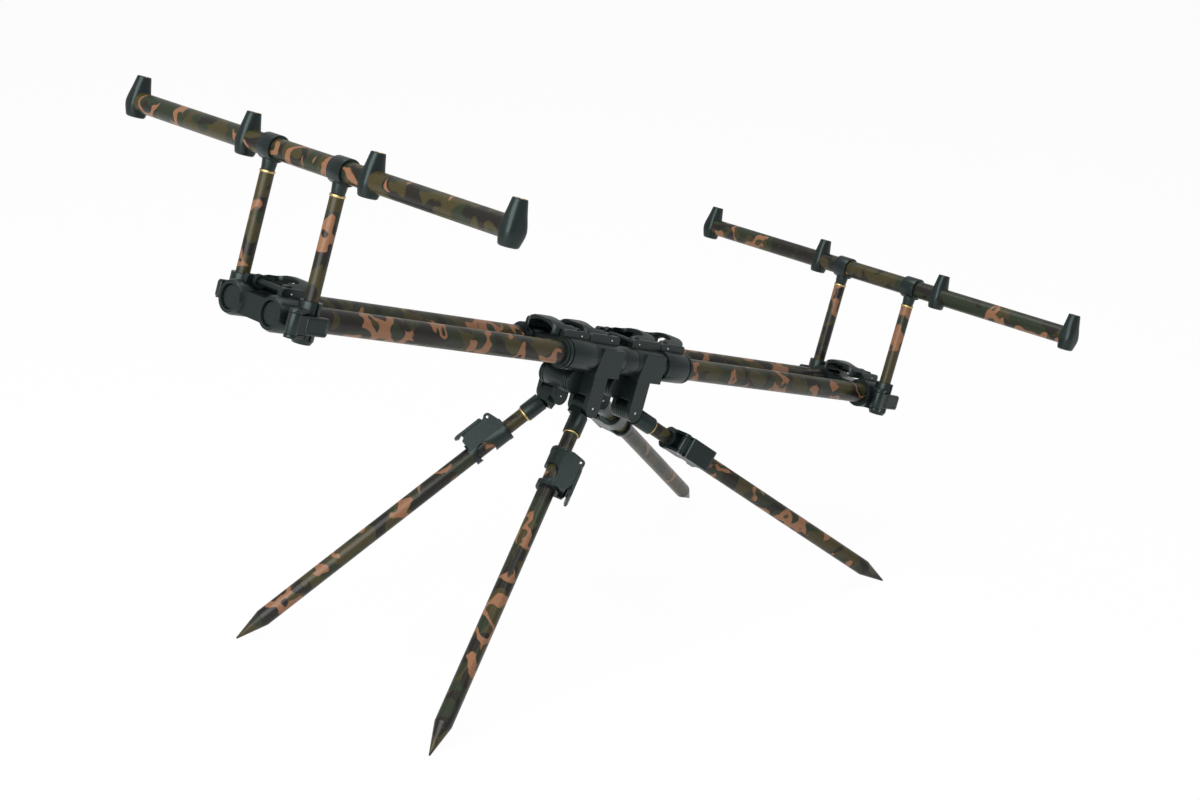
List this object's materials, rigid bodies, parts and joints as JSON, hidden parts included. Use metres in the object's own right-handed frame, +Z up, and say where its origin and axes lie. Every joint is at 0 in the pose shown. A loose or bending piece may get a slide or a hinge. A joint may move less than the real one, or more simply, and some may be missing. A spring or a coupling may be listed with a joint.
{
  "type": "rod pod",
  "caption": "Carp rod pod: sloping twin-tube body on splayed folding legs, with a goal post and buzz bar at each end, cam levers that lock every slide, and threaded rod rests.",
  "frame": {"origin": "on the ground, under the centre of the part's bounding box", "axes": "+X runs along the body from the high front goal post to the low rear one, +Y across it, +Z up"},
  "size_m": [0.942, 0.557, 0.5687],
  "materials": {
    "camo_tube": "semi-gloss camouflage print",
    "black_moulding": "satin",
    "pin_steel": "plain steel",
    "insert_brass": "machined",
    "core_aluminium": "drawn tube"
  },
  "bodies": {
    "core": {"core_tubes": "core_aluminium", "core_collar": "black_moulding"},
    "front_boss": {"front_leg_boss": "black_moulding", "front_barrel": "black_moulding", "front_boss_pins": "pin_steel"},
    "front_section": {"front_main_tubes": "camo_tube", "front_tube_clamp": "black_moulding", "front_bracket": "black_moulding", "front_end_caps": "black_moulding", "front_lever_pins": "pin_steel"},
    "front_post": {"front_uprights": "camo_tube", "front_tee_collars": "black_moulding", "front_buzz_bar": "camo_tube", "front_rod_rests": "black_moulding", "front_thread_inserts": "insert_brass"},
    "front_boss_lever": {"front_boss_lever": "black_moulding"},
    "front_clamp_lever": {"front_clamp_lever": "black_moulding"},
    "front_bracket_lever": {"front_bracket_lever": "black_moulding"},
    "front_left_upright_lever": {"front_left_upright_lever": "black_moulding"},
    "front_left_leg": {"front_left_knuckle": "black_moulding", "front_left_upper_tube": "camo_tube"},
    "front_left_foot": {"front_left_lower_tube": "camo_tube", "front_left_lock": "black_moulding"},
    "front_left_lock_lever": {"front_left_lock_lever": "black_moulding"},
    "front_right_upright_lever": {"front_right_upright_lever": "black_moulding"},
    "front_right_leg": {"front_right_knuckle": "black_moulding", "front_right_upper_tube": "camo_tube"},
    "front_right_foot": {"front_right_lower_tube": "camo_tube", "front_right_lock": "black_moulding"},
    "front_right_lock_lever": {"front_right_lock_lever": "black_moulding"},
    "rear_boss": {"rear_leg_boss": "black_moulding", "rear_barrel": "black_moulding", "rear_boss_pins": "pin_steel"},
    "rear_section": {"rear_main_tubes": "camo_tube", "rear_tube_clamp": "black_moulding", "rear_bracket": "black_moulding", "rear_end_caps": "black_moulding", "rear_lever_pins": "pin_steel"},
    "rear_post": {"rear_uprights": "camo_tube", "rear_tee_collars": "black_moulding", "rear_buzz_bar": "camo_tube", "rear_rod_rests": "black_moulding", "rear_thread_inserts": "insert_brass"},
    "rear_boss_lever": {"rear_boss_lever": "black_moulding"},
    "rear_clamp_lever": {"rear_clamp_lever": "black_moulding"},
    "rear_bracket_lever": {"rear_bracket_lever": "black_moulding"},
    "rear_left_upright_lever": {"rear_left_upright_lever": "black_moulding"},
    "rear_left_leg": {"rear_left_knuckle": "black_moulding", "rear_left_upper_tube": "camo_tube"},
    "rear_left_foot": {"rear_left_lower_tube": "camo_tube", "rear_left_lock": "black_moulding"},
    "rear_left_lock_lever": {"rear_left_lock_lever": "black_moulding"},
    "rear_right_upright_lever": {"rear_right_upright_lever": "black_moulding"},
    "rear_right_leg": {"rear_right_knuckle": "black_moulding", "rear_right_upper_tube": "camo_tube"},
    "rear_right_foot": {"rear_right_lower_tube": "camo_tube", "rear_right_lock": "black_moulding"},
    "rear_right_lock_lever": {"rear_right_lock_lever": "black_moulding"}
  },
  "joints": [
    {"name": "front_boss_slide", "type": "slide", "parent": "core", "child": "front_boss", "axis": [-0.9646, 0, 0.2639], "range_m": [0, 0.1]},
    {"name": "front_section_slide", "type": "slide", "parent": "front_boss", "child": "front_section", "axis": [-0.9646, 0, 0.2639], "range_m": [0, 0.2]},
    {"name": "front_post_lift", "type": "slide", "parent": "front_section", "child": "front_post", "axis": [0.2639, 0, 0.9646], "range_m": [0, 0.025]},
    {"name": "front_boss_flip", "type": "hinge", "parent": "front_boss", "child": "front_boss_lever", "pos_m": [-0.02631, 0, 0.31738], "axis": [0, 1, 0], "range_deg": [0, 95]},
    {"name": "front_clamp_flip", "type": "hinge", "parent": "front_section", "child": "front_clamp_lever", "pos_m": [-0.07116, 0, 0.32965], "axis": [0, 1, 0], "range_deg": [0, 95]},
    {"name": "front_bracket_flip", "type": "hinge", "parent": "front_section", "child": "front_bracket_lever", "pos_m": [-0.43933, 0, 0.43037], "axis": [0, -1, 0], "range_deg": [0, 95]},
    {"name": "front_left_upright_flip", "type": "hinge", "parent": "front_section", "child": "front_left_upright_lever", "pos_m": [-0.46412, -0.06465, 0.41745], "axis": [-0.2639, 0, -0.9646], "range_deg": [0, 100]},
    {"name": "front_left_leg_swing", "type": "hinge", "parent": "front_boss", "child": "front_left_leg", "pos_m": [-0.0566, -0.024, 0.25102], "axis": [0, 1, 0], "range_deg": [-35, 52]},
    {"name": "front_left_leg_slide", "type": "slide", "parent": "front_left_leg", "child": "front_left_foot", "axis": [-0.7326, -0.314, -0.6039], "range_m": [-0.02, 0.22]},
    {"name": "front_left_lock_flip", "type": "hinge", "parent": "front_left_foot", "child": "front_left_lock_lever", "pos_m": [-0.09592, -0.06196, 0.20222], "axis": [-0.3622, -0.5714, 0.7364], "range_deg": [0, 100]},
    {"name": "front_right_upright_flip", "type": "hinge", "parent": "front_section", "child": "front_right_upright_lever", "pos_m": [-0.4159, 0.06465, 0.40426], "axis": [-0.2639, 0, -0.9646], "range_deg": [0, 100]},
    {"name": "front_right_leg_swing", "type": "hinge", "parent": "front_boss", "child": "front_right_leg", "pos_m": [-0.0566, 0.024, 0.25102], "axis": [0, 1, 0], "range_deg": [-35, 52]},
    {"name": "front_right_leg_slide", "type": "slide", "parent": "front_right_leg", "child": "front_right_foot", "axis": [-0.7326, 0.314, -0.6039], "range_m": [-0.02, 0.22]},
    {"name": "front_right_lock_flip", "type": "hinge", "parent": "front_right_foot", "child": "front_right_lock_lever", "pos_m": [-0.1141, 0.05989, 0.22319], "axis": [0.6161, 0.683, -0.3923], "range_deg": [0, 100]},
    {"name": "rear_boss_slide", "type": "slide", "parent": "core", "child": "rear_boss", "axis": [0.9646, 0, -0.2639], "range_m": [0, 0.1]},
    {"name": "rear_section_slide", "type": "slide", "parent": "rear_boss", "child": "rear_section", "axis": [0.9646, 0, -0.2639], "range_m": [0, 0.2]},
    {"name": "rear_post_lift", "type": "slide", "parent": "rear_section", "child": "rear_post", "axis": [0.2639, 0, 0.9646], "range_m": [0, 0.025]},
    {"name": "rear_boss_flip", "type": "hinge", "parent": "rear_boss", "child": "rear_boss_lever", "pos_m": [0.01574, 0, 0.30587], "axis": [0, -1, 0], "range_deg": [0, 95]},
    {"name": "rear_clamp_flip", "type": "hinge", "parent": "rear_section", "child": "rear_clamp_lever", "pos_m": [0.0606, 0, 0.2936], "axis": [0, -1, 0], "range_deg": [0, 95]},
    {"name": "rear_bracket_flip", "type": "hinge", "parent": "rear_section", "child": "rear_bracket_lever", "pos_m": [0.42877, 0, 0.19288], "axis": [0, 1, 0], "range_deg": [0, 95]},
    {"name": "rear_left_upright_flip", "type": "hinge", "parent": "rear_section", "child": "rear_left_upright_lever", "pos_m": [0.3953, -0.06465, 0.18234], "axis": [-0.2639, 0, -0.9646], "range_deg": [0, 100]},
    {"name": "rear_left_leg_swing", "type": "hinge", "parent": "rear_boss", "child": "rear_left_leg", "pos_m": [0.00803, -0.024, 0.23334], "axis": [0, -1, 0], "range_deg": [-68, 18]},
    {"name": "rear_left_leg_slide", "type": "slide", "parent": "rear_left_leg", "child": "rear_left_foot", "axis": [0.7658, -0.314, -0.5612], "range_m": [-0.02, 0.22]},
    {"name": "rear_left_lock_flip", "type": "hinge", "parent": "rear_left_foot", "child": "rear_left_lock_lever", "pos_m": [0.05647, -0.06598, 0.19784], "axis": [-0.5911, 0, -0.8066], "range_deg": [0, 100]},
    {"name": "rear_right_upright_flip", "type": "hinge", "parent": "rear_section", "child": "rear_right_upright_lever", "pos_m": [0.44353, 0.06465, 0.16915], "axis": [-0.2639, 0, -0.9646], "range_deg": [0, 100]},
    {"name": "rear_right_leg_swing", "type": "hinge", "parent": "rear_boss", "child": "rear_right_leg", "pos_m": [0.00803, 0.024, 0.23334], "axis": [0, -1, 0], "range_deg": [-68, 18]},
    {"name": "rear_right_leg_slide", "type": "slide", "parent": "rear_right_leg", "child": "rear_right_foot", "axis": [0.7658, 0.314, -0.5612], "range_m": [-0.02, 0.22]},
    {"name": "rear_right_lock_flip", "type": "hinge", "parent": "rear_right_foot", "child": "rear_right_lock_lever", "pos_m": [0.05647, 0.06598, 0.19784], "axis": [0.5911, 0, 0.8066], "range_deg": [0, 100]}
  ]
}
